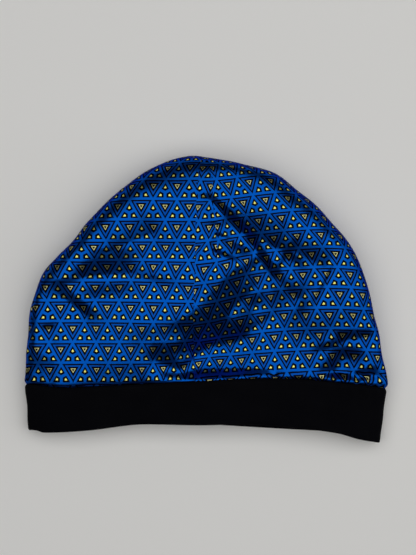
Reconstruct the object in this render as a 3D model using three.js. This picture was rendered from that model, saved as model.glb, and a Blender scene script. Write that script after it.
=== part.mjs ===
// A soft skull cap lying on its back: a printed satin crown sewn from three panels, and a
// plain black band folded double, with an open mouth for the head.
// Millimetres. X runs across the cap, Y from the mouth up to the crown's top, Z up from the
// surface that it lies on. The origin is under the middle of the cap, on that surface.
import * as THREE from "three";

// Driving sizes of the crown.
const crownWidth = 282;
const crownLength = 177.5;
const crownRise = 28;
const crownSide = 17;
const crownWall = 2;
const crownEdgeRound = 16;
// Driving sizes of the band.
const bandWidth = 283;
const bandLength = 38;
const bandFootWidth = 276;
const bandFootShift = -1.3;
const bandFootSlant = 8.3;
const bandRise = 14;
const bandSide = 11;
const bandFootRise = 11;
const bandFootSide = 9;
const bandWall = 2.4;
const bandEdgeRound = 13;
// How the pieces meet.
const seamGap = 0.3;
const seamDip = 0.7;
const dartDip = 1;
// How a fold of the front is shaped: how round its crease is, in mm, the power of its drop, how
// far it runs on past its ends in depths, and how much more on its lower side.
const creaseRound = 1.2;
const creaseBend = 1.25;
const creaseEnd = 1.8;
const creaseFan = 2;
// The share of the way up over which the folds grow from nothing at the sewn edge.
const foldStart = 0.0375;
// Where the side seams lie on a ring: the left one shows in front, the right one is underneath.
const leftSeamInset = 2;
const rightSeamTurn = 36;
// How finely the surfaces are divided.
const leftColumns = 16;
const rightColumns = 20;
const dartColumns = 2;
const backColumns = 22;
const bandColumns = 64;
const bandRows = 3;
const ringSamples = 160;
const tipShare = 0.997;

// The outline from the band up to the top, as shares of half the crown's width and of its length.
const leftOutline = [
  { across: -1.01, up: 0.0 },
  { across: -0.99, up: 0.15 },
  { across: -0.98, up: 0.28 },
  { across: -0.945, up: 0.386 },
  { across: -0.895, up: 0.491 },
  { across: -0.82, up: 0.565 },
  { across: -0.729, up: 0.634 },
  { across: -0.63, up: 0.737 },
  { across: -0.431, up: 0.878 },
  { across: -0.24, up: 0.972 },
  { across: -0.1, up: 1.0 },
  { across: -0.0055, up: 0.996 },
];
const rightOutline = [
  { across: 1.008, up: -0.019 },
  { across: 0.978, up: 0.14 },
  { across: 0.945, up: 0.28 },
  { across: 0.873, up: 0.491 },
  { across: 0.779, up: 0.632 },
  { across: 0.624, up: 0.772 },
  { across: 0.409, up: 0.913 },
  { across: 0.2, up: 0.967 },
  { across: -0.0055, up: 0.996 },
];

// Each ring of the crown by its share of the way up the outline: the height of its sides and
// its rise above them, as shares of crownSide and crownRise, and how full its two ends are.
const crownRings = [
  { up: 0.0, side: 0.65, rise: 0.5, under: 1, leftFull: 5, rightFull: 5 },
  { up: 0.12, side: 0.78, rise: 0.65, under: 1, leftFull: 6, rightFull: 6 },
  { up: 0.25, side: 0.88, rise: 0.79, under: 1, leftFull: 7, rightFull: 6 },
  { up: 0.4, side: 0.95, rise: 0.93, under: 1, leftFull: 7, rightFull: 6 },
  { up: 0.55, side: 1.0, rise: 1.0, under: 1, leftFull: 6, rightFull: 6 },
  { up: 0.68, side: 1.03, rise: 0.97, under: 1, leftFull: 5, rightFull: 5 },
  { up: 0.78, side: 1.06, rise: 0.87, under: 1, leftFull: 4, rightFull: 4 },
  { up: 0.87, side: 1.09, rise: 0.65, under: 0.86, leftFull: 3, rightFull: 3 },
  { up: 0.94, side: 1.11, rise: 0.35, under: 0.52, leftFull: 2.4, rightFull: 2.4 },
  { up: 1.0, side: 1.12, rise: 0.0, under: 0.0, leftFull: 2, rightFull: 2 },
];
// The rise is raised towards the right end of each ring by this share, and lowered on the left.
const ringTilt = 0.12;
// The power of the curve by which a ring comes down at its two ends.
const ringDrop = 0.4;

// How far the sewn edge and the band's free edge bow up from the straight line between their
// two ends, as shares of bandLength. The free edge has a front and a back layer.
const bandEdges = [
  { across: -1.0, seam: 0.0, front: 0.0, back: 0.0 },
  { across: -0.9, seam: -0.03, front: -0.03, back: 0.0 },
  { across: -0.78, seam: -0.06, front: -0.01, back: 0.03 },
  { across: -0.65, seam: -0.035, front: 0.04, back: 0.07 },
  { across: -0.32, seam: 0.04, front: 0.19, back: 0.21 },
  { across: -0.05, seam: 0.1, front: 0.24, back: 0.24 },
  { across: 0.28, seam: 0.17, front: 0.32, back: 0.225 },
  { across: 0.47, seam: 0.18, front: 0.29, back: 0.2 },
  { across: 0.75, seam: 0.11, front: 0.16, back: 0.15 },
  { across: 0.88, seam: 0.065, front: 0.07, back: 0.07 },
  { across: 1.0, seam: 0.0, front: 0.0, back: 0.0 },
];

// The seams' places across the crown, as shares of half its width, up the rings.
const centreSeam = [
  { up: 0.0, across: -0.057 },
  { up: 0.2, across: -0.066 },
  { up: 0.42, across: -0.057 },
  { up: 0.63, across: -0.05 },
  { up: 0.735, across: -0.041 },
  { up: 0.88, across: -0.025 },
  { up: 1.0, across: -0.0055 },
];
const dartLine = [
  { up: 0.0, across: 0.066 },
  { up: 0.4, across: 0.066 },
  { up: 0.49, across: 0.0586 },
  { up: 0.6, across: 0.044 },
  { up: 0.735, across: 0.035 },
  { up: 0.85, across: 0.0127 },
  { up: 1.0, across: -0.0055 },
];
const dartFoot = 0.4;

// The large hollows of the front, of which the deepest counts most, and its folds, which add up.
// Each runs between two places, given as shares of half the crown's width and of its length. Its
// depth, and how far it reaches to its upper and its lower side, are shares of crownRise.
const hollows = [
  { from: [-0.03, 0.16], to: [0.14, 0.19], depth: 0.38, above: 1, below: 1.07 },
  { from: [0.18, 0.2], to: [0.26, 0.25], depth: 0.29, above: 0.75, below: 0.86 },
  { from: [0.11, 0.26], to: [0.24, 0.38], depth: 0.29, above: 0.96, below: 0.93 },
];
const folds = [
  { from: [0.13, 0.73], to: [0.33, 0.63], depth: 0.24, above: 0.45, below: 0.86 },
  { from: [0.2, 0.63], to: [0.46, 0.43], depth: 0.13, above: 0.45, below: 0.71 },
  { from: [-0.61, 0.49], to: [-0.56, 0.49], depth: 0.3, above: 0.57, below: 0.79 },
  { from: [-0.78, 0.41], to: [-0.67, 0.33], depth: 0.18, above: 0.45, below: 0.64 },
  { from: [-0.27, 0.14], to: [-0.21, 0.14], depth: 0.11, above: 0.45, below: 0.55 },
  { from: [-0.21, 0.12], to: [-0.16, 0.06], depth: 0.17, above: 0.45, below: 0.55 },
  { from: [0.76, 0.21], to: [0.72, 0.09], depth: 0.14, above: 0.45, below: 0.55 },
];

// Reads one column of a table at a place in its key column, on a smooth curve through the
// rows that never swings past them.
function read(table, key, column, at) {
  const x = table.map((row) => row[key]);
  const y = table.map((row) => row[column]);
  const last = x.length - 1;
  const place = Math.min(Math.max(at, x[0]), x[last]);
  let i = 0;
  while (i < last - 1 && place > x[i + 1]) i += 1;
  const slope = (k) => (y[k + 1] - y[k]) / (x[k + 1] - x[k]);
  const tangent = (k) => {
    if (k === 0) return slope(0);
    if (k === last) return slope(last - 1);
    const before = slope(k - 1);
    const after = slope(k);
    return before * after <= 0 ? 0 : (2 * before * after) / (before + after);
  };
  const width = x[i + 1] - x[i];
  const t = (place - x[i]) / width;
  const t2 = t * t;
  const t3 = t2 * t;
  return (
    y[i] * (2 * t3 - 3 * t2 + 1) +
    tangent(i) * width * (t3 - 2 * t2 + t) +
    y[i + 1] * (3 * t2 - 2 * t3) +
    tangent(i + 1) * width * (t3 - t2)
  );
}

const halfCrown = crownWidth / 2;
const halfBand = bandWidth / 2;
// The seam's height on the page that puts the middle of the whole length at the origin.
const wholeLength = crownLength + bandLength + bandFootSlant;
const seamY = wholeLength / 2 - crownLength;

function outlineCurve(rows) {
  const points = rows.map(
    (row) => new THREE.Vector2(row.across * halfCrown, seamY + row.up * crownLength),
  );
  return new THREE.SplineCurve(points);
}
const leftCurve = outlineCurve(leftOutline);
const rightCurve = outlineCurve(rightOutline);

// How much one fold lowers the front at a place. Its upper side drops ever more steeply to the
// crease, and its lower side rises softly and fans out.
function foldDepth(fold, x, y) {
  const start = new THREE.Vector2(fold.from[0] * halfCrown, seamY + fold.from[1] * crownLength);
  const end = new THREE.Vector2(fold.to[0] * halfCrown, seamY + fold.to[1] * crownLength);
  const along = end.clone().sub(start);
  const length = along.length();
  along.divideScalar(length);
  const offset = new THREE.Vector2(x, y).sub(start);
  const reached = offset.dot(along);
  const beyond = Math.max(-reached, reached - length, 0);
  const beside = along.cross(offset) * Math.sign(along.x);
  const depth = fold.depth * crownRise;
  const below = fold.below * crownRise;
  const fromLine = Math.hypot(beside, creaseRound) - creaseRound;
  const drop = Math.max(1 - fromLine / (fold.above * crownRise), 0) ** creaseBend;
  const across = beside > 0 ? drop : Math.exp(-((beside / below) ** 2));
  const endReach = creaseEnd * depth * (1 + (creaseFan * Math.max(-beside, 0)) / below);
  return depth * across * Math.exp(-((beyond / endReach) ** 2));
}

function foldsAt(x, y) {
  const hollow = Math.hypot(...hollows.map((row) => foldDepth(row, x, y)));
  return folds.reduce((sum, fold) => sum + foldDepth(fold, x, y), hollow);
}

// A ring's outline above its sides, from 0 at its two ends to 1 between them.
function ringProfile(xi, leftFull, rightFull) {
  const full = xi < 0 ? leftFull : rightFull;
  const fill = Math.max(1 - Math.abs(xi) ** full, 0);
  // At a ring with round ends, the drop's power is that of an ellipse.
  const power = full > 2 ? ringDrop + (0.5 - ringDrop) * Math.exp(2 - full) : 0.5;
  return fill ** power;
}

// A point of a closed ring: turn runs from 0 at the right end over the front to 1 at the left
// end, and on underneath to 2. The underside comes down on two quarter ellipses and is flat.
function ringPoint(turn, ring) {
  const middle = ring.left.clone().add(ring.right).multiplyScalar(0.5);
  const half = ring.right.clone().sub(ring.left).multiplyScalar(0.5);
  const place = ((turn % 2) + 2) % 2;
  if (place <= 1) {
    const xi = Math.cos(Math.PI * place);
    const x = middle.x + half.x * xi;
    const y = middle.y + half.y * xi + ring.bow(xi, true);
    const rise = ring.rise * (1 + ringTilt * xi) * ringProfile(xi, ring.leftFull, ring.rightFull);
    return new THREE.Vector3(x, y, ring.side + ring.front(x, y, rise));
  }
  const share = place - 1;
  const edge = Math.min(ring.edgeRound / half.x, 0.9) / 2;
  let xi;
  let z;
  if (share < edge || share > 1 - edge) {
    const angle = (Math.min(share, 1 - share) / edge) * (Math.PI / 2);
    const inward = 2 * edge * (1 - Math.cos(angle));
    xi = share < edge ? inward - 1 : 1 - inward;
    z = ring.side - ring.under * Math.sin(angle);
  } else {
    xi = 2 * share - 1;
    z = ring.side - ring.under;
  }
  const x = middle.x + half.x * xi;
  const y = middle.y + half.y * xi + ring.bow(xi, false);
  return new THREE.Vector3(x, y, z);
}

function crownRing(up) {
  const left = leftCurve.getPointAt(up);
  const right = rightCurve.getPointAt(up);
  const at = (column) => read(crownRings, "up", column, up);
  const side = at("side") * crownSide;
  const bowShare = (1 - up) ** 2 * bandLength;
  const grown = THREE.MathUtils.smoothstep(up, 0, foldStart);
  return {
    left,
    right,
    side,
    rise: at("rise") * crownRise,
    under: at("under") * side,
    leftFull: at("leftFull"),
    rightFull: at("rightFull"),
    edgeRound: crownEdgeRound,
    bow: (xi) => bowShare * read(bandEdges, "across", "seam", xi),
    // A fold fades where the front comes down to the outline, so it never cuts the side.
    front: (x, y, rise) =>
      rise - grown * foldsAt(x, y) * Math.min(rise / (crownRise / 2), 1) ** 2,
  };
}

function crownPoint(up, turn) {
  return ringPoint(turn, crownRing(up));
}

// The ring of the band at a share of the way from its sewn edge down to its free edge.
function bandRing(down) {
  const mix = THREE.MathUtils.lerp;
  const halfWidth = mix(halfBand, bandFootWidth / 2, down);
  const shift = mix(0, bandFootShift, down);
  const topY = seamY - seamGap - down * bandLength;
  const rightDrop = -rightOutline[0].up * crownLength;
  const slant = mix(rightDrop, bandFootSlant, down);
  const side = mix(bandSide, bandFootSide, down);
  const bow = (xi, isFront) => {
    const foot = read(bandEdges, "across", isFront ? "front" : "back", xi);
    return bandLength * mix(read(bandEdges, "across", "seam", xi), foot, down);
  };
  return {
    left: new THREE.Vector2(shift - halfWidth, topY),
    right: new THREE.Vector2(shift + halfWidth, topY - slant),
    side,
    rise: mix(bandRise, bandFootRise, down),
    under: side,
    leftFull: crownRings[0].leftFull,
    rightFull: crownRings[0].rightFull,
    edgeRound: bandEdgeRound,
    bow,
    front: (x, y, rise) => rise,
  };
}

function bandPoint(down, turn) {
  return ringPoint(turn, bandRing(down));
}

// The outward direction of a surface given as a function of two shares.
function outward(surface, u, v, largest) {
  const step = 1e-3;
  const high = Math.min(u + step, largest);
  const low = Math.max(high - 2 * step, 0);
  const lengthwise = surface(high, v).sub(surface(low, v));
  const around = surface(u, v + step).sub(surface(u, v - step));
  return lengthwise.cross(around).normalize();
}

// Turns a direction square to the cap's length, as it is at the sewn edges that face each other.
function acrossOnly(direction) {
  direction.y = 0;
  direction.normalize();
}

// The turns that divide part of a ring into equal lengths, kept clear of its two seams.
function equalTurns(up, fromTurn, toTurn, columns, fromGap, toGap) {
  const turns = [];
  const along = [0];
  let before = crownPoint(up, fromTurn);
  turns.push(fromTurn);
  for (let i = 1; i <= ringSamples; i += 1) {
    const turn = fromTurn + ((toTurn - fromTurn) * i) / ringSamples;
    const point = crownPoint(up, turn);
    along.push(along[i - 1] + point.distanceTo(before));
    turns.push(turn);
    before = point;
  }
  const start = fromGap;
  const end = along[ringSamples] - toGap;
  const found = [];
  let k = 0;
  for (let i = 0; i <= columns; i += 1) {
    const target = start + ((end - start) * i) / columns;
    while (k < ringSamples - 1 && along[k + 1] < target) k += 1;
    const share = (target - along[k]) / (along[k + 1] - along[k]);
    found.push(turns[k] + (turns[k + 1] - turns[k]) * share);
  }
  return found;
}

// A closed body from two grids of points that face each other, given as rows.
function bodyBetween(outer, inner) {
  const rows = outer.length;
  const columns = outer[0].length;
  const points = [...outer.flat(), ...inner.flat()];
  const innerStart = rows * columns;
  const faces = [];
  const quad = (a, b, c, d) => faces.push(a, c, b, a, d, c);
  for (let i = 0; i < rows - 1; i += 1) {
    for (let j = 0; j < columns - 1; j += 1) {
      const a = i * columns + j;
      quad(a, a + 1, a + columns + 1, a + columns);
      const b = innerStart + a;
      quad(b, b + columns, b + columns + 1, b + 1);
    }
  }
  for (let i = 0; i < rows - 1; i += 1) {
    const a = i * columns;
    quad(a, a + columns, innerStart + a + columns, innerStart + a);
    const b = a + columns - 1;
    quad(b, innerStart + b, innerStart + b + columns, b + columns);
  }
  for (let j = 0; j < columns - 1; j += 1) {
    quad(j, innerStart + j, innerStart + j + 1, j + 1);
    const b = (rows - 1) * columns + j;
    quad(b, b + 1, innerStart + b + 1, innerStart + b);
  }
  return geometryOf(points, faces);
}

function geometryOf(points, faces) {
  const geometry = new THREE.BufferGeometry();
  const values = points.flatMap((p) => [p.x, p.y, p.z]);
  geometry.setAttribute("position", new THREE.Float32BufferAttribute(values, 3));
  geometry.setIndex(faces);
  geometry.computeVertexNormals();
  return geometry;
}

// The rings that a panel's rows lie on: evenly spaced, then closer towards the top.
function rowShares() {
  const evenRows = 24;
  const evenEnd = 0.9;
  const shares = [];
  for (let i = 0; i <= evenRows; i += 1) shares.push((evenEnd * i) / evenRows);
  for (const share of [0.35, 0.6, 0.8, 0.92, 1]) {
    shares.push(evenEnd + (tipShare - evenEnd) * share);
  }
  return shares;
}

// One panel of the crown. Its stretches run one after another from seam to seam, each with the
// turns where it starts and ends and its columns. dip lowers the seams and the dart.
function panel(stretches) {
  const outer = [];
  const inner = [];
  for (const up of rowShares()) {
    const outerRow = [];
    const innerRow = [];
    stretches.forEach((stretch, n) => {
      const isFirst = n === 0;
      const isLast = n === stretches.length - 1;
      const startGap = isFirst ? seamGap / 2 : 0;
      const endGap = isLast ? seamGap / 2 : 0;
      const turns = equalTurns(
        up, stretch.start(up), stretch.end(up), stretch.columns, startGap, endGap,
      );
      turns.forEach((turn, j) => {
        if (j === 0 && !isFirst) return;
        const normal = outward(crownPoint, up, turn, tipShare);
        if (up === 0) acrossOnly(normal);
        let dip = 0;
        if (j === 0 || (j === stretch.columns && isLast)) dip = seamDip;
        else if (j === stretch.columns) dip = dartDip * THREE.MathUtils.smoothstep(up, dartFoot, 0.5);
        // Seams and the dart lie lower than the cloth beside them.
        const point = crownPoint(up, turn).addScaledVector(normal, -dip);
        outerRow.push(point);
        innerRow.push(point.clone().addScaledVector(normal, -crownWall));
      });
    });
    outer.push(outerRow);
    inner.push(innerRow);
  }
  return bodyBetween(outer, inner);
}

// The turn of a ring at which the front crosses a line given across the crown.
function turnAtLine(line) {
  return (up) => {
    const ring = crownRing(up);
    const middle = (ring.left.x + ring.right.x) / 2;
    const half = (ring.right.x - ring.left.x) / 2;
    const xi = (read(line, "up", "across", up) * halfCrown - middle) / half;
    return Math.acos(THREE.MathUtils.clamp(xi, -1, 1)) / Math.PI;
  };
}
const centreTurn = turnAtLine(centreSeam);
const dartTurn = turnAtLine(dartLine);
function leftSeamTurn() {
  return Math.acos(leftSeamInset / halfCrown - 1) / Math.PI;
}
function rightSeamTurnAt(up) {
  const ring = crownRing(up);
  const half = (ring.right.x - ring.left.x) / 2;
  const edge = Math.min(crownEdgeRound / half, 0.9) / 2;
  return -edge * (rightSeamTurn / 90);
}

function crownFrontLeft() {
  return panel([{ start: centreTurn, end: leftSeamTurn, columns: leftColumns }]);
}

function crownFrontRight() {
  return panel([
    { start: rightSeamTurnAt, end: dartTurn, columns: rightColumns },
    { start: dartTurn, end: centreTurn, columns: dartColumns },
  ]);
}

function crownBack() {
  return panel([
    { start: leftSeamTurn, end: (up) => 2 + rightSeamTurnAt(up), columns: backColumns },
  ]);
}

// The band: a loop of cloth folded double, with a rounded fold at its free edge.
function band() {
  const points = [];
  const faces = [];
  const foldShare = bandWall / 2 / bandLength;
  const section = [];
  for (let i = 0; i <= bandRows; i += 1) {
    section.push({ down: ((1 - foldShare) * i) / bandRows, depth: 0 });
  }
  section.push({ down: 1, depth: 0.5 });
  for (let i = bandRows; i >= 0; i -= 1) {
    section.push({ down: ((1 - foldShare) * i) / bandRows, depth: 1 });
  }
  for (let j = 0; j < bandColumns; j += 1) {
    const turn = (2 * j) / bandColumns;
    for (const { down, depth } of section) {
      const normal = outward(bandPoint, down, turn, 1).negate();
      if (down === 0) acrossOnly(normal);
      points.push(bandPoint(down, turn).addScaledVector(normal, -depth * bandWall));
    }
  }
  const n = section.length;
  for (let j = 0; j < bandColumns; j += 1) {
    const next = ((j + 1) % bandColumns) * n;
    for (let i = 0; i < n; i += 1) {
      const a = j * n + i;
      const b = j * n + ((i + 1) % n);
      const c = next + ((i + 1) % n);
      const d = next + i;
      faces.push(a, c, b, a, d, c);
    }
  }
  return geometryOf(points, faces);
}

const printedSatin = new THREE.MeshStandardMaterial({
  color: 0x0a4aa8,
  roughness: 0.42,
  metalness: 0.2,
});
const blackCloth = new THREE.MeshStandardMaterial({
  color: 0x08090b,
  roughness: 0.8,
  metalness: 0,
});

function piece(name, geometry, material) {
  const mesh = new THREE.Mesh(geometry, material);
  mesh.name = name;
  return mesh;
}

const cap = new THREE.Group();
cap.name = "skull_cap";
cap.add(
  piece("crown_front_left", crownFrontLeft(), printedSatin),
  piece("crown_front_right", crownFrontRight(), printedSatin),
  piece("crown_back", crownBack(), printedSatin),
  piece("band", band(), blackCloth),
);
// Puts the middle of the whole cap over the origin.
const middle = new THREE.Box3().setFromObject(cap).getCenter(new THREE.Vector3());
for (const mesh of cap.children) mesh.geometry.translate(-middle.x, -middle.y, 0);

export default cap;
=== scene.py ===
"""A printed satin skull cap with a folded black band, lying on its back on a pale floor.

Lengths are in millimetres up to the moment that a mesh is made. X runs across the cap, Y from
the mouth up to the crown's top, Z up from the floor.
"""
import math
import bpy
import numpy as np
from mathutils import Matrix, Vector


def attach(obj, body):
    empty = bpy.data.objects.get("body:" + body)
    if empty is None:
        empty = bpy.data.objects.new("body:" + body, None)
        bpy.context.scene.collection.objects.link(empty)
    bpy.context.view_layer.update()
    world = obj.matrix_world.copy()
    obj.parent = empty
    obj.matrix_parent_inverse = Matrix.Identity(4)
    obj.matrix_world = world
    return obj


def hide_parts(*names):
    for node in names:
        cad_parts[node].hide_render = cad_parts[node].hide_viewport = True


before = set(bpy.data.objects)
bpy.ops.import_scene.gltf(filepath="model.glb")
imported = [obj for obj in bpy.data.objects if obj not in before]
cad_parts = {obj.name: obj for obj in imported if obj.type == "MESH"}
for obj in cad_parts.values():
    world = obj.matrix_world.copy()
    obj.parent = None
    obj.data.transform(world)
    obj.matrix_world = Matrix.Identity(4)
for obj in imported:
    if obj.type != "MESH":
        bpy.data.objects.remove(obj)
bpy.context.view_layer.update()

# Metres in a millimetre.
MM = 0.001
# The crown's sizes.
CROWN_WIDTH = 282.0
CROWN_LENGTH = 177.5
CROWN_RISE = 28.0
CROWN_SIDE = 17.0
CROWN_EDGE_ROUND = 16.0
# How much higher the rings' right end is, and the power with which a full ring's ends drop.
RING_TILT = 0.12
RING_DROP = 0.4
# The band's sizes.
BAND_WIDTH = 283.0
BAND_LENGTH = 38.0
BAND_FOOT_WIDTH = 276.0
BAND_FOOT_SHIFT = -1.3
BAND_FOOT_SLANT = 8.3
BAND_RISE = 14.0
BAND_SIDE = 11.0
BAND_FOOT_RISE = 11.0
BAND_FOOT_SIDE = 9.0
BAND_WALL = 2.2
BAND_EDGE_ROUND = 13.0
# Where the pieces meet. The right seam's turn is in degrees round the cap's lower right edge.
SEAM_GAP = 0.3
LEFT_SEAM_INSET = 2.0
RIGHT_SEAM_TURN = 36.0
# The middle of the whole cap, which goes over the origin.
MIDDLE = np.array((0.0, 0.2, 0.0))
# The cloth's thickness and one step of its print.
CLOTH = 0.5
PRINT_PITCH = 18.9

HALF_CROWN = CROWN_WIDTH / 2
SEAM_Y = (CROWN_LENGTH + BAND_LENGTH + BAND_FOOT_SLANT) / 2 - CROWN_LENGTH

# The outline: shares of half the crown's width, and of its length.
LEFT_OUTLINE = (
    (-1.01, 0.0), (-0.99, 0.15), (-0.98, 0.28), (-0.945, 0.386), (-0.895, 0.491),
    (-0.82, 0.565), (-0.729, 0.634), (-0.63, 0.737), (-0.431, 0.878), (-0.24, 0.972),
    (-0.1, 1.0), (-0.0055, 0.996),
)
RIGHT_OUTLINE = (
    (1.008, -0.019), (0.978, 0.14), (0.945, 0.28), (0.873, 0.491), (0.779, 0.632),
    (0.624, 0.772), (0.409, 0.913), (0.2, 0.967), (-0.0055, 0.996),
)
# Rings of the crown: share of the way up, height of the sides and rise above them, how much
# of the underside reaches down, and how full the left and the right end are.
CROWN_RINGS = np.array((
    (0.0, 0.65, 0.5, 1, 5, 5),
    (0.12, 0.78, 0.65, 1, 6, 6),
    (0.25, 0.88, 0.79, 1, 7, 6),
    (0.4, 0.95, 0.93, 1, 7, 6),
    (0.55, 1.0, 1.0, 1, 6, 6),
    (0.68, 1.03, 0.97, 1, 5, 5),
    (0.78, 1.06, 0.87, 1, 4, 4),
    (0.87, 1.09, 0.65, 0.86, 3, 3),
    (0.94, 1.11, 0.35, 0.52, 2.4, 2.4),
    (1.0, 1.12, 0.0, 0.0, 2, 2),
)).T
# The sewn edge and the band's free edge: share across, bow of the seam, of the front layer's
# free edge and of the back layer's, as shares of the band's length.
BAND_EDGES = np.array((
    (-1.0, 0.0, 0.06, 0.04),
    (-0.95, -0.01, 0.05, 0.03),
    (-0.91, -0.027, 0.015, 0.03),
    (-0.78, -0.06, 0.045, 0.06),
    (-0.65, -0.035, 0.095, 0.1),
    (-0.32, 0.04, 0.26, 0.27),
    (-0.05, 0.1, 0.27, 0.265),
    (0.28, 0.17, 0.32, 0.23),
    (0.47, 0.18, 0.29, 0.21),
    (0.75, 0.11, 0.19, 0.18),
    (0.88, 0.065, 0.07, 0.07),
    (1.0, 0.0, 0.0, 0.0),
)).T
# The centre seam and the dart: share of the way up, and place across.
CENTRE_SEAM = np.array((
    (0.0, -0.057), (0.2, -0.066), (0.42, -0.057), (0.63, -0.05), (0.735, -0.041),
    (0.88, -0.025), (1.0, -0.0055),
)).T
DART_LINE = np.array((
    (0.0, 0.066), (0.4, 0.066), (0.49, 0.0586), (0.6, 0.044), (0.735, 0.035),
    (0.85, 0.0127), (1.0, -0.0055),
)).T
DART_FOOT = 0.4
# How the print runs on each front panel: terms of a polynomial in its own places, as powers
# along and up the print, and the shifts along and up it. Lengths are in steps of the print. The
# powers are taken of places divided by the span, which go no further than the end.
WARP_SPAN = 5.0
WARP_END = 1.3
LEFT_WARP = (
    (0, 0, -0.13, 0.08), (0, 1, -0.17, -0.11), (0, 2, 0.04, -0.04),
    (1, 0, 0.73, -0.06), (1, 1, -0.19, -0.05), (2, 0, 0.34, 0.0),
)
RIGHT_WARP = (
    (0, 0, -0.43, 0.1), (0, 1, 0.65, -0.13), (0, 2, 0.15, -0.15), (0, 3, 0.08, 0.15),
    (1, 0, 0.7, -0.74), (1, 1, 0.19, 0.21), (1, 2, 0.11, 0.45),
    (2, 0, -0.44, -0.18), (2, 1, -0.13, 0.04), (3, 0, 0.09, 0.31),
)
# The parts of the front, as ranges of X and Y, where each panel's print lies straight.
LEFT_SETTLED = ((-110, -15), (-55, 70))
RIGHT_SETTLED = ((-5, 110), (-55, 70))
# How many times the print's shifts on the cloth are smoothed.
SHIFT_SMOOTHING = 12
# The print that the dart takes in, in steps of the print, by the share of the way up.
DART_TAKE = np.array((
    (0.0, 0.0), (0.36, 0.0), (0.4, -0.19), (0.473, -0.45), (0.56, -0.71), (0.644, -0.98),
    (0.75, -1.31), (0.87, -1.7), (1.0, -2.0),
)).T
# How round the foot of a fold is in mm, the power with which its upper side drops, and how much
# further it runs out below its line.
CREASE_ROUND = 1.2
CREASE_BEND = 1.25
CREASE_FAN = 1.1
# The share of the way up over which the folds grow from nothing at the sewn edge.
FOLD_START = 0.0375
# The front's large hollows, of which the deepest counts most, and its folds, which add up: from,
# to, depth in mm, reach to the upper and the lower side in mm, and run-out past the ends as a
# multiple of the depth.
HOLLOWS = (
    ((-0.01, 0.156), (0.104, 0.207), 12.9, 28.5, 33, 0.94),
    ((0.21, 0.215), (0.309, 0.263), 9.7, 21.5, 35.9, 2.08),
    ((0.048, 0.243), (0.257, 0.413), 8.6, 21.6, 29.4, 2.18),
)
FOLDS = (
    ((0.133, 0.685), (0.399, 0.595), 7.1, 24, 11.7, 1.48),
    ((0.02, 0.801), (0.201, 0.669), 3.3, 5.1, 8, 1.76),
    ((0.261, 0.594), (0.331, 0.509), 6.1, 6.3, 14.6, 1.68),
    ((0.3, 0.527), (0.508, 0.37), 3.9, 22, 24.7, 1.61),
    ((-0.626, 0.471), (-0.44, 0.477), 7.5, 21, 14.9, 2.18),
    ((-0.491, 0.592), (-0.337, 0.64), 6.6, 21.5, 34.7, 2.8),
    ((-0.735, 0.348), (-0.705, 0.331), 6.3, 9.4, 26.6, 2.61),
    ((0.232, 0.211), (0.275, 0.334), 5.3, 12.7, 32.5, 2.04),
    ((-0.286, 0.136), (-0.061, 0.146), 2.2, 7.6, 9.4, 0.6),
    ((-0.21, 0.081), (-0.207, 0.078), 4.9, 7.4, 10, 1.71),
    ((0.713, 0.173), (0.784, 0.055), 3.1, 18.4, 17.9, 0.72),
    ((0.733, 0.198), (0.911, 0.21), 2.5, 6.2, 6.3, 0.8),
    ((0.757, 0.119), (0.7, 0.036), 5.7, 11, 13.1, 1.23),
    ((0.794, 0.019), (0.925, 0.041), 5.5, 6.4, 6.7, 0.86),
    ((0.471, 0.581), (0.657, 0.501), 4.1, 18.9, 35.9, 0.74),
    ((0.077, 0.646), (0.053, 0.598), 3, 5, 21.3, 0.69),
    ((-0.12, 0.07), (0.023, 0.162), 5.4, 18.5, 15.1, 1.82),
    ((-0.869, 0.235), (-0.876, 0.174), 2.7, 10.3, 11.1, 1.43),
)
# The cloth's small relief, with depths, places and reaches in mm. Its seeded waves are given as
# seed, how many, shortest and longest.
WRINKLE_DEPTH = 0.5
WRINKLE_WAVES = (3, 9, 26, 60)
# The seams lie in narrow valleys, with the cloth a little puckered beside them.
SEAM_DEPTH = 0.1
SEAM_REACH = 0.8
PUCKER_REACH = 4
PUCKER_SHARE = 0.35
PUCKER_WAVES = (5, 4, 7, 16)
# The left side seam is pinched and puckered.
SIDE_PUCKER_DEPTH = 0.55
SIDE_PUCKER_REACH = 2.2
SIDE_PUCKER_WAVES = (12, 5, 5, 11)
SIDE_PUCKER_END = -60
# The crown's cloth rolls in towards the band, more softly in the middle.
ROLL_DEPTH = 1.9
ROLL_REACH = 1.5
SOFT_ROLL_DEPTH = 1.6
SOFT_ROLL_REACH = 3
SOFT_ROLL_X = 6
SOFT_ROLL_HALF_WIDTH = 52
# One small pinch in the front at the band, right of the middle.
PINCH_DEPTH = 3.4
PINCH_X = 53
PINCH_HEIGHT = 4
PINCH_REACH_ACROSS = 2.2
PINCH_REACH_UP = 3
# The gathers at the band: depth everywhere in the front, then depth, X and reach of the parts
# where it is gathered more.
GATHER_DEPTH = 0.35
GATHER_PARTS = ((1.4, 112, 30), (0.6, 50, 12))
GATHER_WAVES = (8, 4, 6.5, 15)
GATHER_START = 1.5
GATHER_REACH = 9
# The relief fades out near the floor, and in the last share of the way up, where the rings close.
FLOOR_FADE = 6
TOP_FADE = 0.03
# The strips turned inwards at the band and at the side seams.
BAND_STRIP = 2.4
SIDE_STRIP = 1.8
# The dart becomes a seam over this share of the way above its foot. Further down it counts as
# this far away, in mm.
DART_START = 0.08
DART_FAR = 12
# The band's own relief.
BAND_WAVE_DEPTH = 0.35
BAND_WAVES = (21, 7, 18, 50)
BAND_GATHER = 0.5
BAND_GATHER_REACH = 7
BAND_ROLL_DEPTH = 1.2
BAND_ROLL_REACH = 1.2
# How finely things are worked out: points along an outline and along a ring, the grid on which
# a panel is laid out flat and the steps that this takes, and the band's columns.
OUTLINE_SAMPLES = 401
RING_SAMPLES = 241
FLAT_GRID = 44
FLAT_STEPS = 750
BAND_COLUMNS = 420
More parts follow.
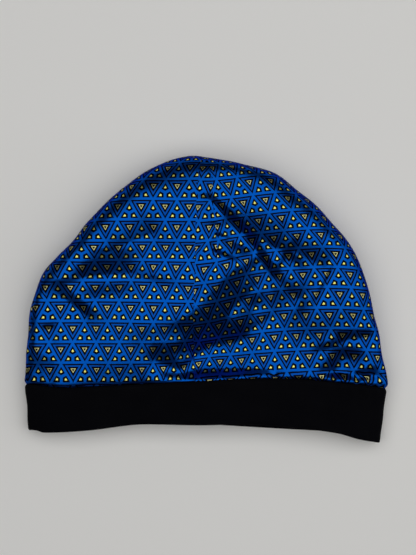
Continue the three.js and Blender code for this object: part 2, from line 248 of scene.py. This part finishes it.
# The rows of every crown panel: closer together at the band and at the top.
ROWS = np.concatenate((
    np.array((0, 0.0012, 0.0026, 0.0044, 0.0066, 0.0095, 0.013)),
    np.linspace(0.018, 0.9, 156),
    0.9 + 0.097 * np.linspace(0, 1, 25)[1:] ** 0.8,
))


# ---- curves ----
def read(x, y, at):
    """A table's column at places between its rows, on a smooth curve that never swings past
    them."""
    slope = np.diff(y) / np.diff(x)
    both = slope[:-1] * slope[1:]
    total = np.where(both > 0, slope[:-1] + slope[1:], 1)
    inner = np.where(both > 0, 2 * both / total, 0)
    tangent = np.concatenate((slope[:1], inner, slope[-1:]))
    at = np.clip(at, x[0], x[-1])
    i = np.clip(np.searchsorted(x, at) - 1, 0, len(x) - 2)
    width = x[i + 1] - x[i]
    t = (at - x[i]) / width
    return (
        y[i] * (2 * t**3 - 3 * t**2 + 1)
        + tangent[i] * width * (t**3 - 2 * t**2 + t)
        + y[i + 1] * (3 * t**2 - 2 * t**3)
        + tangent[i + 1] * width * (t**3 - t**2)
    )


def bell(distance, reach):
    """1 at no distance, falling softly to nothing a few reaches away."""
    return np.exp(-((distance / reach) ** 2))


def running_length(points, axis=0):
    """The length from the first point on, along one axis of a list or a grid of points."""
    steps = np.linalg.norm(np.diff(points, axis=axis), axis=-1)
    length = np.cumsum(steps, axis=axis)
    return np.concatenate((np.zeros_like(length.take([0], axis)), length), axis)


def in_mm(shares):
    """Places given as shares of half the crown's width and of its length."""
    return np.array(shares) * (HALF_CROWN, CROWN_LENGTH) + (0, SEAM_Y)


def outline(rows, share):
    """Places at shares of the length of a smooth curve through the rows."""
    place = in_mm(rows)
    place = np.vstack((place[:1], place, place[-1:]))
    t = np.linspace(0, len(rows) - 1, OUTLINE_SAMPLES)
    i = np.minimum(t.astype(int), len(rows) - 2)
    w = (t - i)[:, None]
    p0, p1, p2, p3 = (place[i + k] for k in range(4))
    v0, v1 = (p2 - p0) / 2, (p3 - p1) / 2
    cube = 2 * p1 - 2 * p2 + v0 + v1
    square = 3 * p2 - 3 * p1 - 2 * v0 - v1
    curve = cube * w**3 + square * w**2 + v0 * w + p1
    length = running_length(curve)
    return np.stack([np.interp(share * length[-1], length, curve[:, k]) for k in (0, 1)], axis=-1)


def crease(row, x, y):
    """How deep one row of HOLLOWS or FOLDS is at places."""
    start, end, depth, above, below, ends = row
    start, end = in_mm(start), in_mm(end)
    length = np.linalg.norm(end - start)
    along = (end - start) / length
    dx, dy = x - start[0], y - start[1]
    reached = dx * along[0] + dy * along[1]
    beyond = np.maximum(np.maximum(-reached, reached - length), 0)
    beside = (along[0] * dy - along[1] * dx) * np.sign(along[0])
    # The upper side drops ever more steeply to the line, and the lower side rises softly.
    from_line = np.hypot(beside, CREASE_ROUND) - CREASE_ROUND
    drop = np.maximum(1 - from_line / above, 0) ** CREASE_BEND
    across = np.where(beside > 0, drop, bell(beside, below))
    reach = ends * depth * (1 + CREASE_FAN * np.maximum(-beside, 0) / below)
    return depth * across * bell(beyond, reach)


def fold_depth(x, y):
    """How deep the front lies below its dome at places."""
    hollow = sum(crease(row, x, y) ** 2 for row in HOLLOWS) ** 0.5
    return hollow + sum(crease(row, x, y) for row in FOLDS)


def bow(column, xi):
    """One column of BAND_EDGES at places across, from -1 at the left end to 1."""
    return read(BAND_EDGES[0], BAND_EDGES[column], xi)


# ---- rings ----
def ring_profile(xi, left_full, right_full):
    """The shape of a ring's front, from 0 at its ends to 1. A fuller end drops more squarely."""
    full = np.where(xi < 0, left_full, right_full)
    fill = np.maximum(1 - np.abs(xi) ** full, 0)
    return fill ** (RING_DROP + (0.5 - RING_DROP) * np.exp(2 - full))


def edge_share(edge_round, half):
    """The share of the underside's width that each rounded edge takes up."""
    return np.minimum(edge_round / half, 0.9) / 2


def ring_points(ring, turn):
    """Points of closed rings, a row of turns for each. Turn 0 is the right end and 1 the left
    end, with the front between them, and the underside goes on from 1 to 2."""
    turn = turn % 2
    half = (ring["right"] - ring["left"]) / 2
    middle = (ring["right"] + ring["left"]) / 2
    front_xi = np.cos(np.pi * turn)
    share = turn - 1
    edge = edge_share(ring["edge_round"], half[:, :1])
    near = np.clip(np.minimum(share, 1 - share) / edge, 0, 1)
    angle = near * np.pi / 2
    inward = 2 * edge * (1 - np.cos(angle))
    rounded = np.where(share < 0.5, inward - 1, 1 - inward)
    under_xi = np.where(near < 1, rounded, 2 * share - 1)
    is_front = turn <= 1
    xi = np.where(is_front, front_xi, under_xi)
    x = middle[:, :1] + half[:, :1] * xi
    y = middle[:, 1:] + half[:, 1:] * xi
    y = y + np.where(is_front, ring["front_bow"](xi), ring["back_bow"](xi))
    profile = ring_profile(xi, ring["left_full"], ring["right_full"])
    rise = ring["rise"] * (1 + RING_TILT * xi) * profile
    front_z = ring["side"] + rise
    if ring["folds"]:
        # The folds run out towards the ends of each ring and at the sewn edge.
        fade = ring["grown"] * np.minimum(rise / (CROWN_RISE / 2), 1) ** 2
        front_z = front_z - fold_depth(x, y) * fade
    under_z = ring["side"] - ring["under"] * np.sin(angle)
    return np.stack((x, y, np.where(is_front, front_z, under_z)), axis=-1)


def crown_ring(up):
    """The crown's rings at shares of the way up."""
    side, rise, under, left_full, right_full = (
        read(CROWN_RINGS[0], column, up)[:, None] for column in CROWN_RINGS[1:]
    )
    bow_share = ((1 - up) ** 2 * BAND_LENGTH)[:, None]
    grown = np.clip(up / FOLD_START, 0, 1)[:, None]
    seam_bow = lambda xi: bow_share * bow(1, xi)
    return {
        "left": outline(LEFT_OUTLINE, up),
        "right": outline(RIGHT_OUTLINE, up),
        "side": side * CROWN_SIDE,
        "rise": rise * CROWN_RISE,
        "under": under * side * CROWN_SIDE,
        "left_full": left_full,
        "right_full": right_full,
        "edge_round": CROWN_EDGE_ROUND,
        "front_bow": seam_bow,
        "back_bow": seam_bow,
        "folds": True,
        "grown": grown**2 * (3 - 2 * grown),
    }


def band_ring(down):
    """The band's rings at shares of the way down to its foot."""
    down = down[:, None]
    mix = lambda a, b: a + (b - a) * down
    half = mix(BAND_WIDTH / 2, BAND_FOOT_WIDTH / 2)
    shift = mix(0, BAND_FOOT_SHIFT)
    top = SEAM_Y - SEAM_GAP - down * BAND_LENGTH
    slant = mix(-RIGHT_OUTLINE[0][1] * CROWN_LENGTH, BAND_FOOT_SLANT)
    side = mix(BAND_SIDE, BAND_FOOT_SIDE)
    layer_bow = lambda column: lambda xi: BAND_LENGTH * mix(bow(1, xi), bow(column, xi))
    full = np.full_like(down, CROWN_RINGS[4][0])
    return {
        "left": np.hstack((shift - half, top)),
        "right": np.hstack((shift + half, top - slant)),
        "side": side,
        "rise": mix(BAND_RISE, BAND_FOOT_RISE),
        "under": side,
        "left_full": full,
        "right_full": full,
        "edge_round": BAND_EDGE_ROUND,
        "front_bow": layer_bow(2),
        "back_bow": layer_bow(3),
        "folds": False,
    }


# ---- where the seams run, in turns round the rings ----
def turn_at_line(line):
    """The turns at which a line of the front crosses the rows."""
    ring = crown_ring(ROWS)
    middle = (ring["left"][:, 0] + ring["right"][:, 0]) / 2
    half = (ring["right"][:, 0] - ring["left"][:, 0]) / 2
    xi = (read(*line, ROWS) * HALF_CROWN - middle) / half
    return np.arccos(np.clip(xi, -1, 1)) / np.pi


def left_seam_turn():
    return np.full(len(ROWS), np.arccos(LEFT_SEAM_INSET / HALF_CROWN - 1) / np.pi)


def right_seam_turn():
    ring = crown_ring(ROWS)
    half = (ring["right"][:, 0] - ring["left"][:, 0]) / 2
    return -edge_share(CROWN_EDGE_ROUND, half) * (RIGHT_SEAM_TURN / 90)


def graded(count, closeness=0.75):
    """Shares from 0 to 1 that lie closer together at the two ends."""
    t = np.linspace(0, 1, count + 1)
    return t - closeness * np.sin(2 * np.pi * t) / (2 * np.pi)


def spread_turns(start, end, shares):
    """Turns that divide the part of each row between two turns into shares of its length."""
    samples = start[:, None] + (end - start)[:, None] * np.linspace(0, 1, RING_SAMPLES)
    length = running_length(ring_points(crown_ring(ROWS), samples), axis=1)
    return np.array([
        np.interp(shares * row[-1], row, turns) for row, turns in zip(length, samples)
    ])


# ---- the print's place on the cloth ----
def flatten(points, steps):
    """Lays a grid of points out flat, keeping the distances between neighbours."""
    middle = points.shape[1] // 2
    across = running_length(points, axis=1)
    direction = np.sign(points[0, -1, 0] - points[0, 0, 0])
    height = points[0, middle, 1] + running_length(points[:, middle])
    flat = np.stack((
        points[:, middle, 0][:, None] + direction * (across - across[:, middle][:, None]),
        points[..., 1] + (height - points[:, middle, 1])[:, None],
    ), axis=-1)
    start = flat.copy()
    whole, head, tail = slice(None), slice(None, -1), slice(1, None)
    links = (
        ((whole, head), (whole, tail)), ((head, whole), (tail, whole)),
        ((head, head), (tail, tail)), ((head, tail), (tail, head)),
    )
    lengths = [np.linalg.norm(points[b] - points[a], axis=-1) for a, b in links]
    count = np.zeros(points.shape[:2])
    for a, b in links:
        count[a] += 1
        count[b] += 1
    for _ in range(steps):
        move = np.zeros_like(flat)
        for (a, b), length in zip(links, lengths):
            gap = flat[b] - flat[a]
            now = np.linalg.norm(gap, axis=-1) + 1e-9
            push = gap * (0.5 * (now - length) / now)[..., None]
            move[a] += push
            move[b] -= push
        flat += move / count[..., None]
    # The shifts are smoothed, so that the print never zigzags where the rings close.
    shift = flat - start
    for _ in range(SHIFT_SMOOTHING):
        for axis in (0, 1):
            wide = np.concatenate((shift.take([0], axis), shift, shift.take([-1], axis)), axis)
            before = wide.take(range(shift.shape[axis]), axis)
            after = wide.take(range(2, shift.shape[axis] + 2), axis)
            shift = (before + 2 * shift + after) / 4
    return start + shift


def filled_in(grid, picked, count):
    """Gives a grid all its columns again, between the picked ones."""
    return np.array([
        [np.interp(np.arange(count), picked, row) for row in grid[..., k]] for k in (0, 1)
    ]).transpose(1, 2, 0)


def settle(flat, base, x_range, y_range):
    """Turns and shifts the flat panel so that it best matches its place on the cap."""
    x, y = base[..., 0], base[..., 1]
    inside = (x > x_range[0]) & (x < x_range[1]) & (y > y_range[0]) & (y < y_range[1])
    inside &= base[..., 2] > CROWN_SIDE
    flat_middle, base_middle = flat[inside].mean(0), base[inside][:, :2].mean(0)
    a, b = flat[inside] - flat_middle, base[inside][:, :2] - base_middle
    cross = (a[:, 0] * b[:, 1] - a[:, 1] * b[:, 0]).sum()
    angle = math.atan2(cross, (a * b).sum())
    turn = np.array(((math.cos(angle), math.sin(angle)), (-math.sin(angle), math.cos(angle))))
    return (flat - flat_middle) @ turn + base_middle


def warp(uv, terms):
    """Shifts places on the print by a panel's terms."""
    a, b = (np.clip(uv[..., k] / WARP_SPAN, -WARP_END, WARP_END) for k in (0, 1))
    return uv + sum((a**i * b**j)[..., None] * (du, dv) for i, j, du, dv in terms)


def print_places(base, settled, terms):
    """Each point's place on the print, from the panel laid out flat."""
    rows, columns = (
        np.unique(np.linspace(0, count - 1, FLAT_GRID).astype(int)) for count in base.shape[:2]
    )
    flat = flatten(base[np.ix_(rows, columns)], FLAT_STEPS if settled else 0)
    flat = filled_in(flat, columns, base.shape[1])
    flat = filled_in(flat.transpose(1, 0, 2), rows, base.shape[0]).transpose(1, 0, 2)
    if settled:
        flat = settle(flat, base, *settled)
    return warp(flat / PRINT_PITCH, terms)


# ---- meshes ----
def normals_of(points):
    """Outward directions of a grid whose rows go up and whose columns go round by turns."""
    rows = np.gradient(points, axis=0)
    columns = np.gradient(points, axis=1)
    normal = np.cross(rows, columns)
    return normal / np.maximum(np.linalg.norm(normal, axis=-1, keepdims=True), 1e-9)


def make_mesh(name, points, uv=None, loop=False, split=None, uv_beyond=None):
    """A piece from a grid of points. loop joins the last row of points to the first. From the
    column split on, the faces take their place on the print from uv_beyond."""
    rows, columns = points.shape[:2]
    index = np.arange(rows * columns).reshape(rows, columns)
    if loop:
        index = np.vstack((index, index[:1]))
    faces = np.stack((index[:-1, :-1], index[1:, :-1], index[1:, 1:], index[:-1, 1:]), axis=-1)
    mesh = bpy.data.meshes.new(name)
    vertices = (points.reshape(-1, 3) - MIDDLE) * MM
    mesh.from_pydata(vertices.tolist(), [], faces.reshape(-1, 4).tolist())
    if uv is not None:
        layer = mesh.uv_layers.new(name="print")
        corners = np.zeros(len(mesh.loops), int)
        mesh.loops.foreach_get("vertex_index", corners)
        places = uv.reshape(-1, 2)[corners]
        if split is not None:
            beyond = (np.arange(len(corners)) // 4) % (columns - 1) >= split
            places[beyond] = uv_beyond.reshape(-1, 2)[corners[beyond]]
        layer.data.foreach_set("uv", places.ravel())
    mesh.polygons.foreach_set("use_smooth", [True] * len(mesh.polygons))
    if not loop:
        # The cloth turns sharply at the side seams.
        ends = np.zeros(len(mesh.edges) * 2, int)
        mesh.edges.foreach_get("vertices", ends)
        place = ends.reshape(-1, 2) % columns
        sharp = (place == 1).all(axis=1) | (place == columns - 2).all(axis=1)
        mesh.attributes.new("sharp_edge", "BOOLEAN", "EDGE").data.foreach_set("value", sharp)
    mesh.update()
    piece = bpy.data.objects.new(name, mesh)
    bpy.context.scene.collection.objects.link(piece)
    return piece


# ---- the crown ----
def ripple(waves, place):
    """A smooth wandering value from -1 to 1 along a line, made of a few seeded waves."""
    seed, count, low, high = waves
    generator = np.random.default_rng(seed)
    total = np.zeros_like(place)
    for _ in range(count):
        length = generator.uniform(low, high)
        total += np.sin(2 * np.pi * place / length + generator.uniform(0, 2 * np.pi))
    return total / math.sqrt(count) / 1.2


def crumple(waves, x, y):
    """Soft wrinkles in all directions, from seeded plane waves."""
    seed, count, low, high = waves
    generator = np.random.default_rng(seed)
    total = np.zeros_like(x)
    for _ in range(count):
        angle, length = generator.uniform(0, np.pi), generator.uniform(low, high)
        phase = generator.uniform(0, 2 * np.pi)
        total += np.sin(2 * np.pi * (x * np.cos(angle) + y * np.sin(angle)) / length + phase)
    return total / math.sqrt(count)


def front_gather(x):
    """How deeply the front is gathered at the band: most at the right."""
    return GATHER_DEPTH + sum(depth * bell(x - at, reach) for depth, at, reach in GATHER_PARTS)


def back_gather(x):
    return np.zeros_like(x)


def panel_points(base, seams, gather):
    """A panel's outer surface with its relief, and the outward directions. seams says how far
    each point is from the nearest seam."""
    normal = normals_of(base)
    x, y, z = (base[..., k] for k in range(3))
    # The distance from the band along the cloth.
    height = running_length(base)
    move = WRINKLE_DEPTH * crumple(WRINKLE_WAVES, x, y)
    pucker = 1 + PUCKER_SHARE * ripple(PUCKER_WAVES, y)
    move -= SEAM_DEPTH * (bell(seams, SEAM_REACH) + pucker * bell(seams, PUCKER_REACH))
    at_side = bell(seams, SIDE_PUCKER_REACH) * (x < SIDE_PUCKER_END)
    move += SIDE_PUCKER_DEPTH * ripple(SIDE_PUCKER_WAVES, y) * at_side
    soft = np.exp(-(((x - SOFT_ROLL_X) / SOFT_ROLL_HALF_WIDTH) ** 4))
    move -= ROLL_DEPTH * bell(height, ROLL_REACH) * (1 - soft)
    move -= SOFT_ROLL_DEPTH * np.exp(-height / SOFT_ROLL_REACH) * soft
    pinch = bell(x - PINCH_X, PINCH_REACH_ACROSS) * bell(height - PINCH_HEIGHT, PINCH_REACH_UP)
    move -= PINCH_DEPTH * pinch * (normal[..., 2] > 0)
    gathered = np.exp(-height / GATHER_REACH) * (1 - np.exp(-height / GATHER_START))
    move += gather(x) * ripple(GATHER_WAVES, x) * gathered
    fade = np.clip((1 - ROWS) / TOP_FADE, 0, 1)[:, None] * np.clip(z / FLOOR_FADE, 0, 1)
    points = base + normal * (move * fade)[..., None]
    points[..., 2] = np.maximum(points[..., 2], 0)
    return points, normal


def turned_in(points, normal):
    """Adds a strip turned inwards at the band and at the side seams."""
    edge = points[:1] - normal[:1] * (1.0, 0, 1.0) * BAND_STRIP
    points = np.concatenate((edge, points))
    normal = np.concatenate((normal[:1], normal))
    start = points[:, :1] - normal[:, :1] * SIDE_STRIP
    end = points[:, -1:] - normal[:, -1:] * SIDE_STRIP
    return np.concatenate((start, points, end), axis=1)


def seam_distances(base, dart_column):
    """How far each point of a panel is from the nearest seam. The dart is one too, above its
    foot."""
    length = running_length(base, axis=1)
    seams = np.minimum(length, length[:, -1:] - length)
    if dart_column is None:
        return seams
    up = np.clip((ROWS - DART_FOOT) / DART_START, 0, 1)[:, None]
    from_dart = np.abs(length - length[:, dart_column:dart_column + 1])
    return np.minimum(seams, from_dart + (1 - up) * DART_FAR)


def panel(name, stretches, gather, settled, terms):
    """One crown panel. stretches is a list of (start turns, end turns, shares), with the dart
    between the first and the second. settled is the part of the front, as ranges of X and Y,
    where the print lies straight, and terms bend it."""
    parts = [spread_turns(*stretch) for stretch in stretches]
    turns = np.hstack(parts[:1] + [part[:, 1:] for part in parts[1:]])
    dart_column = parts[0].shape[1] - 1 if len(parts) > 1 else None
    base = ring_points(crown_ring(ROWS), turns)
    points = turned_in(*panel_points(base, seam_distances(base, dart_column), gather))
    # The turned strips take the print's places at their edges.
    uv = print_places(base, settled, terms)
    uv = np.concatenate((uv[:1], uv))
    uv = np.concatenate((uv[:, :1], uv, uv[:, -1:]), axis=1)
    if dart_column is None:
        return make_mesh(name, points, uv)
    take = read(*DART_TAKE, np.concatenate((ROWS[:1], ROWS)))
    beyond = uv + (1, 0) * take[:, None, None]
    return make_mesh(name, points, uv, split=dart_column + 1, uv_beyond=beyond)


centre, dart = turn_at_line(CENTRE_SEAM), turn_at_line(DART_LINE)
left_seam, right_seam = left_seam_turn(), right_seam_turn()

front_left = panel(
    "crown_left_cloth", [(centre, left_seam, graded(112))], front_gather, LEFT_SETTLED, LEFT_WARP,
)
front_right = panel(
    "crown_right_cloth",
    [(right_seam, dart, graded(118)), (dart, centre, graded(14, 0.5))],
    front_gather, RIGHT_SETTLED, RIGHT_WARP,
)
back = panel(
    "crown_back_cloth", [(left_seam, 2 + right_seam, graded(110, 0.85))], back_gather, None, (),
)


# ---- the band ----
def band_cloth():
    """The band: cloth folded double at the foot, as one loop."""
    turn = np.arange(BAND_COLUMNS + 1) * 2 / BAND_COLUMNS
    # Shares of the way down the outer layer, closer together at the seam, and up the inner one.
    outer = np.concatenate((np.array((0, 0.01, 0.025, 0.045)), np.linspace(0.07, 0.96, 26)))
    inner = np.linspace(0.96, 0, 14)
    radius = BAND_WALL / 2
    foot_share = 1 - radius / BAND_LENGTH

    def layer(shares):
        down = np.asarray(shares) * foot_share
        return ring_points(band_ring(down), np.repeat(turn[None], len(down), axis=0))

    known = np.linspace(0, 1, 60)
    known_normal = normals_of(layer(known)[::-1])[::-1]

    def directions(shares):
        return np.stack([
            np.stack([np.interp(shares, known, column[:, k]) for k in range(3)], axis=-1)
            for column in known_normal.transpose(1, 0, 2)
        ], axis=1)

    front = layer(outer)
    x, y, z = (front[..., k] for k in range(3))
    height = (outer * BAND_LENGTH)[:, None]
    wave = BAND_WAVE_DEPTH * crumple(BAND_WAVES, x, y)
    gathered = front_gather(x) * ripple(GATHER_WAVES, x) * np.exp(-height / BAND_GATHER_REACH)
    wave += BAND_GATHER * gathered
    roll = BAND_ROLL_DEPTH * bell(height, BAND_ROLL_REACH)
    move = wave * np.clip(z / FLOOR_FADE, 0, 1) - roll
    front = front + directions(outer) * move[..., None]
    back_layer = layer(inner) - directions(inner) * BAND_WALL
    # The fold at the foot is half round.
    last, last_normal = layer([1.0]), directions([1.0])
    ahead = last - layer([0.97])
    ahead /= np.linalg.norm(ahead, axis=-1, keepdims=True)
    centre_line = last - last_normal * radius
    angles = np.linspace(0, np.pi, 9)[:, None, None]
    fold = centre_line + radius * (np.cos(angles) * last_normal + np.sin(angles) * ahead)
    points = np.concatenate((front, fold, back_layer)).transpose(1, 0, 2)[:-1]
    return make_mesh("band_cloth", points[:, ::-1], loop=True)


band = band_cloth()


# ---- materials ----
# How far the weave's threads stand out, in metres.
THREAD = 0.0002


class Nodes:
    """A small writer of node materials."""

    def __init__(self, name):
        self.material = bpy.data.materials.new(name)
        self.material.use_nodes = True
        self.tree = self.material.node_tree
        self.shader = self.tree.nodes["Principled BSDF"]

    def new(self, kind, **settings):
        node = self.tree.nodes.new(kind)
        for name, value in settings.items():
            setattr(node, name, value)
        return node

    def feed(self, socket, value):
        if isinstance(value, bpy.types.NodeSocket):
            self.tree.links.new(value, socket)
        else:
            socket.default_value = value

    def math(self, operation, *values):
        node = self.new("ShaderNodeMath", operation=operation)
        for socket, value in zip(node.inputs, values):
            self.feed(socket, value)
        return node.outputs[0]

    def mix(self, factor, low, high):
        node = self.new("ShaderNodeMix", data_type="RGBA")
        self.feed(node.inputs["Factor"], factor)
        # The colours have sockets 6 and 7, after those for numbers and vectors.
        self.feed(node.inputs[6], low)
        self.feed(node.inputs[7], high)
        return node.outputs[2]

    def noise(self, scale, detail, vector):
        node = self.new("ShaderNodeTexNoise")
        node.inputs["Scale"].default_value = scale
        node.inputs["Detail"].default_value = detail
        self.feed(node.inputs["Vector"], vector)
        return node.outputs["Fac"]

    def bump(self, height, strength):
        node = self.new("ShaderNodeBump")
        node.inputs["Strength"].default_value = strength
        node.inputs["Distance"].default_value = THREAD
        self.feed(node.inputs["Height"], height)
        return node.outputs["Normal"]

    def spread(self, value, low, high):
        """A value from 0 to 1, spread from low to high."""
        node = self.new("ShaderNodeMapRange")
        self.feed(node.inputs["Value"], value)
        node.inputs["To Min"].default_value = low
        node.inputs["To Max"].default_value = high
        return node.outputs["Result"]

    def step(self, value, edge, soft=0.006):
        """0 below the edge and 1 above it, with a soft change between them."""
        node = self.new("ShaderNodeMapRange", interpolation_type="SMOOTHSTEP")
        self.feed(node.inputs["Value"], value)
        node.inputs["From Min"].default_value = edge - soft
        node.inputs["From Max"].default_value = edge + soft
        return node.outputs["Result"]


def rgb(red, green, blue):
    """A colour from 0 to 255 values as seen, in the linear values that a shader takes."""
    linear = [
        ((c / 255 + 0.055) / 1.055) ** 2.4 if c > 10 else c / 255 / 12.92
        for c in (red, green, blue)
    ]
    return (*linear, 1.0)


# The print's colours.
BLUE = rgb(2, 86, 188)
RING_BLUE = rgb(6, 76, 172)
DEEP_BLUE = rgb(8, 22, 50)
INK = rgb(8, 9, 14)
YELLOW = rgb(252, 242, 128)
CREAM = rgb(226, 220, 150)
ROOT3 = math.sqrt(3)
# The print's parts, in steps of the print. The triangles that point down change colour at these
# distances inside their sides.
DOWN_BANDS = (
    (0.028, INK), (0.09, RING_BLUE), (0.152, INK), (0.227, CREAM), (0.248, INK),
    (0.272, DEEP_BLUE),
)
# The dots in the triangles that point up: their margin inside the sides, how far they reach from
# a corner with their border and without it, and the border's width.
DOT_MARGIN = 0.076
DOT_REACH = 0.31
DOT_CORE = 0.222
DOT_BORDER = 0.066


def print_colours(n):
    """The triangle print: blue bars, framed triangles that point down, and dots in those that
    point up."""
    place = n.new("ShaderNodeSeparateXYZ")
    n.feed(place.inputs[0], n.new("ShaderNodeUVMap", uv_map="print").outputs[0])
    u, v = place.outputs[0], place.outputs[1]
    lean = n.math("DIVIDE", v, ROOT3)
    f1 = n.math("FRACT", n.math("MULTIPLY", lean, 2.0))
    f2 = n.math("FRACT", n.math("SUBTRACT", u, lean))
    f3 = n.math("FRACT", n.math("ADD", u, lean))
    is_down = n.step(n.math("ADD", f1, f2), 1.0, 1e-5)
    height = ROOT3 / 2

    def distances(*turned):
        """The distances from a triangle's three sides, in steps of the print."""
        return [
            n.math("MULTIPLY", n.math("SUBTRACT", 1.0, f) if t else f, height)
            for f, t in zip((f1, f2, f3), turned)
        ]

    # The triangles that point down, with frames and a ring.
    a, b, c = distances(True, True, False)
    inset = n.math("MINIMUM", n.math("MINIMUM", a, b), c)
    down = BLUE
    for start, colour in DOWN_BANDS:
        down = n.mix(n.step(inset, start), down, colour)
    # The triangles that point up, with a bordered dot in each corner.
    inner = [n.math("SUBTRACT", d, DOT_MARGIN) for d in distances(False, False, True)]
    borders, dots = [], []
    for i, j in ((0, 1), (1, 2), (2, 0)):
        one, two = inner[i], inner[j]
        along_one = n.math("DIVIDE", n.math("MULTIPLY_ADD", one, 0.5, two), height)
        along_two = n.math("DIVIDE", n.math("MULTIPLY_ADD", two, 0.5, one), height)
        far = n.math("MAXIMUM", along_one, along_two)
        near = n.math("MINIMUM", one, two)
        borders.append(n.math("MINIMUM", near, n.math("SUBTRACT", DOT_REACH, far)))
        dots.append(n.math(
            "MINIMUM", n.math("SUBTRACT", near, DOT_BORDER), n.math("SUBTRACT", DOT_CORE, far)
        ))
    most = lambda values: n.math("MAXIMUM", n.math("MAXIMUM", values[0], values[1]), values[2])
    up = n.mix(n.step(most(borders), 0.0), BLUE, INK)
    up = n.mix(n.step(most(dots), 0.0), up, YELLOW)
    return n.mix(is_down, up, down)


def satin():
    n = Nodes("printed_satin")
    coordinates = n.new("ShaderNodeTexCoord").outputs["Object"]
    colour = print_colours(n)
    shade = n.noise(14.0, 3.0, coordinates)
    varied = n.mix(n.math("MULTIPLY", shade, 0.2), colour, rgb(3, 10, 24))
    n.feed(n.shader.inputs["Base Color"], varied)
    n.shader.inputs["Metallic"].default_value = 0.95
    n.shader.inputs["Specular IOR Level"].default_value = 0.1
    n.shader.inputs["Specular Tint"].default_value = (0.12, 0.22, 0.45, 1)
    rough = n.spread(n.noise(60.0, 2.0, coordinates), 0.27, 0.37)
    n.feed(n.shader.inputs["Roughness"], rough)
    n.feed(n.shader.inputs["Normal"], n.bump(n.noise(900.0, 2.0, coordinates), 0.25))
    return n.material


def wrong_side():
    n = Nodes("satin_wrong_side")
    coordinates = n.new("ShaderNodeTexCoord").outputs["Object"]
    tone = n.noise(40.0, 4.0, coordinates)
    n.feed(n.shader.inputs["Base Color"], n.mix(tone, rgb(30, 52, 96), rgb(52, 78, 126)))
    n.shader.inputs["Roughness"].default_value = 0.85
    n.feed(n.shader.inputs["Normal"], n.bump(n.noise(1200.0, 2.0, coordinates), 0.3))
    return n.material


def black_cloth():
    n = Nodes("black_band_cloth")
    coordinates = n.new("ShaderNodeTexCoord").outputs["Object"]
    tone = n.noise(30.0, 4.0, coordinates)
    n.feed(n.shader.inputs["Base Color"], n.mix(tone, rgb(4, 4, 7), rgb(9, 9, 13)))
    n.shader.inputs["Specular IOR Level"].default_value = 0.02
    rough = n.spread(n.noise(80.0, 2.0, coordinates), 0.55, 0.7)
    n.feed(n.shader.inputs["Roughness"], rough)
    n.feed(n.shader.inputs["Normal"], n.bump(n.noise(1000.0, 2.0, coordinates), 0.3))
    return n.material


satin_material, inside_material, band_material = satin(), wrong_side(), black_cloth()


def dress(piece, node):
    """Gives a crown panel its thickness and two sides, puts it in the root body, and hides the
    CAD part that it stands for.
    """
    piece.data.materials.append(satin_material)
    piece.data.materials.append(inside_material)
    solid = piece.modifiers.new("thickness", "SOLIDIFY")
    solid.thickness = CLOTH * MM
    solid.offset = -1
    solid.use_rim = True
    solid.material_offset = 1
    solid.material_offset_rim = 0
    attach(piece, "root")
    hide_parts(node)


dress(front_left, "crown_front_left")
dress(front_right, "crown_front_right")
dress(back, "crown_back")
band.data.materials.append(band_material)
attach(band, "root")
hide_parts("band")


# ---- the stage ----
def floor():
    mesh = bpy.data.meshes.new("floor")
    half = 3.0
    corners = [(-half, -half, 0), (half, -half, 0), (half, half, 0), (-half, half, 0)]
    mesh.from_pydata(corners, [], [(0, 1, 2, 3)])
    piece = bpy.data.objects.new("floor", mesh)
    bpy.context.scene.collection.objects.link(piece)
    n = Nodes("pale_floor")
    n.shader.inputs["Base Color"].default_value = (0.92, 0.91, 0.88, 1)
    n.shader.inputs["Roughness"].default_value = 0.9
    mesh.materials.append(n.material)


def area_light(name, place, target, size, radiance):
    """A soft light that the camera doesn't see, of the same brightness whatever its size."""
    data = bpy.data.lights.new(name, "AREA")
    data.shape = "RECTANGLE"
    data.size, data.size_y = size
    data.energy = radiance * math.pi * size[0] * size[1]
    lamp = bpy.data.objects.new(name, data)
    lamp.location = place
    direction = Vector(target) - lamp.location
    lamp.rotation_euler = direction.to_track_quat("-Z", "Y").to_euler()
    lamp.visible_camera = False
    bpy.context.scene.collection.objects.link(lamp)


floor()
# A wide soft light over the cap: what lies flat shines, and the steep sides of folds are dark.
# A second one shines in from the right.
area_light("key", (0.5, 0.22, 1.5), (0.5, 0.22, 0), (4.2, 2.15), 1.06)
area_light("side", (2.7, 0.22, 0.75), (0, 0.22, 0.75), (2.15, 1.5), 0.95)

world = bpy.data.worlds.new("studio")
world.use_nodes = True
background = world.node_tree.nodes["Background"]
background.inputs["Color"].default_value = (0.9, 0.93, 1.0, 1)
background.inputs["Strength"].default_value = 0.06
bpy.context.scene.world = world
bpy.context.scene.view_settings.view_transform = "Standard"

# The camera looks straight down, and sees the picture's 555 points of height as 0.78 mm each at
# the height of the cap's outline.
CAMERA_HEIGHT = 1.3
OUTLINE_HEIGHT = 0.018
PICTURE_HEIGHT = 555 * 0.00078
SENSOR = 36
camera_data = bpy.data.cameras.new("camera")
camera_data.sensor_width = SENSOR
camera_data.lens = SENSOR * (CAMERA_HEIGHT - OUTLINE_HEIGHT) / PICTURE_HEIGHT
camera = bpy.data.objects.new("camera", camera_data)
camera.location = (0.0019, 0.0175, CAMERA_HEIGHT)
bpy.context.scene.collection.objects.link(camera)
bpy.context.scene.camera = camera
